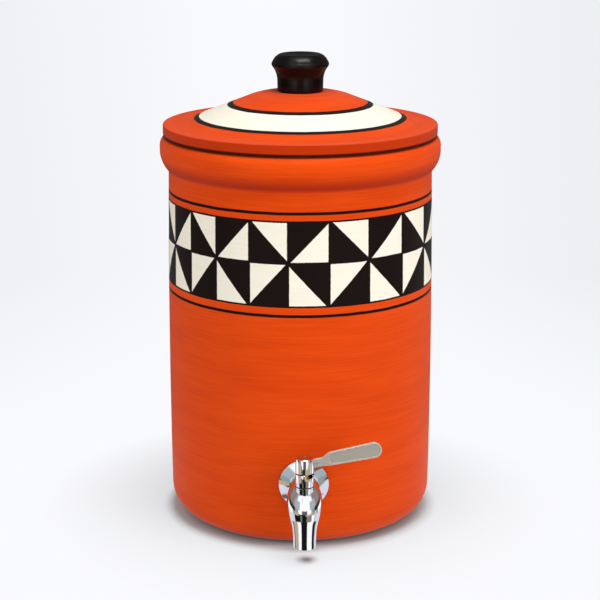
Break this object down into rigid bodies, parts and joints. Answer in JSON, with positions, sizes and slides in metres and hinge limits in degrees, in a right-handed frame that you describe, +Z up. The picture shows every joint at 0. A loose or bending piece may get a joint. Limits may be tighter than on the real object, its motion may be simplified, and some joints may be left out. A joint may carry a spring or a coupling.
{
  "type": "water jar",
  "caption": "Round terracotta water jar with a rolled collar, a domed lift-off lid with a turned knob, and a quarter-turn lever tap low on its wall.",
  "frame": {"origin": "centre of the jar's flat base, on the jar's axis", "axes": "+Z up along the jar's axis, -Y out of the jar along the tap's shank, +X along the lever when the tap is closed"},
  "size_m": [0.2338, 0.2667, 0.3914],
  "materials": {
    "painted_clay": "satin",
    "black_wood": "gloss lacquer",
    "chrome": "polished",
    "stainless": "satin",
    "zinc_steel": "plated",
    "brass": "machined",
    "rubber": "matt",
    "seal_plastic": "matt"
  },
  "bodies": {
    "jar": {"jar": "painted_clay", "tap_body": "chrome", "rosette": "chrome", "outer_washer": "rubber", "inner_washer": "rubber", "backing_washer": "stainless", "lock_nut": "stainless", "inlet_seat": "seal_plastic", "thrust_washer": "seal_plastic", "bonnet_gasket": "rubber", "bonnet": "chrome"},
    "lid": {"lid": "painted_clay", "knob": "black_wood", "knob_washer": "zinc_steel", "knob_screw": "zinc_steel"},
    "lever": {"lever_hub": "chrome", "lever": "stainless", "hub_screw": "zinc_steel", "index_disc": "chrome", "plug_spindle": "brass", "spindle_o_rings": "rubber"}
  },
  "joints": [
    {"name": "lid_lift", "type": "slide", "parent": "jar", "child": "lid", "axis": [0, 0, 1], "range_m": [0, 0.12]},
    {"name": "lever_turn", "type": "hinge", "parent": "jar", "child": "lever", "pos_m": [0, -0.13744, 0.07685], "axis": [0, 0, 1], "range_deg": [-90, 0]}
  ]
}
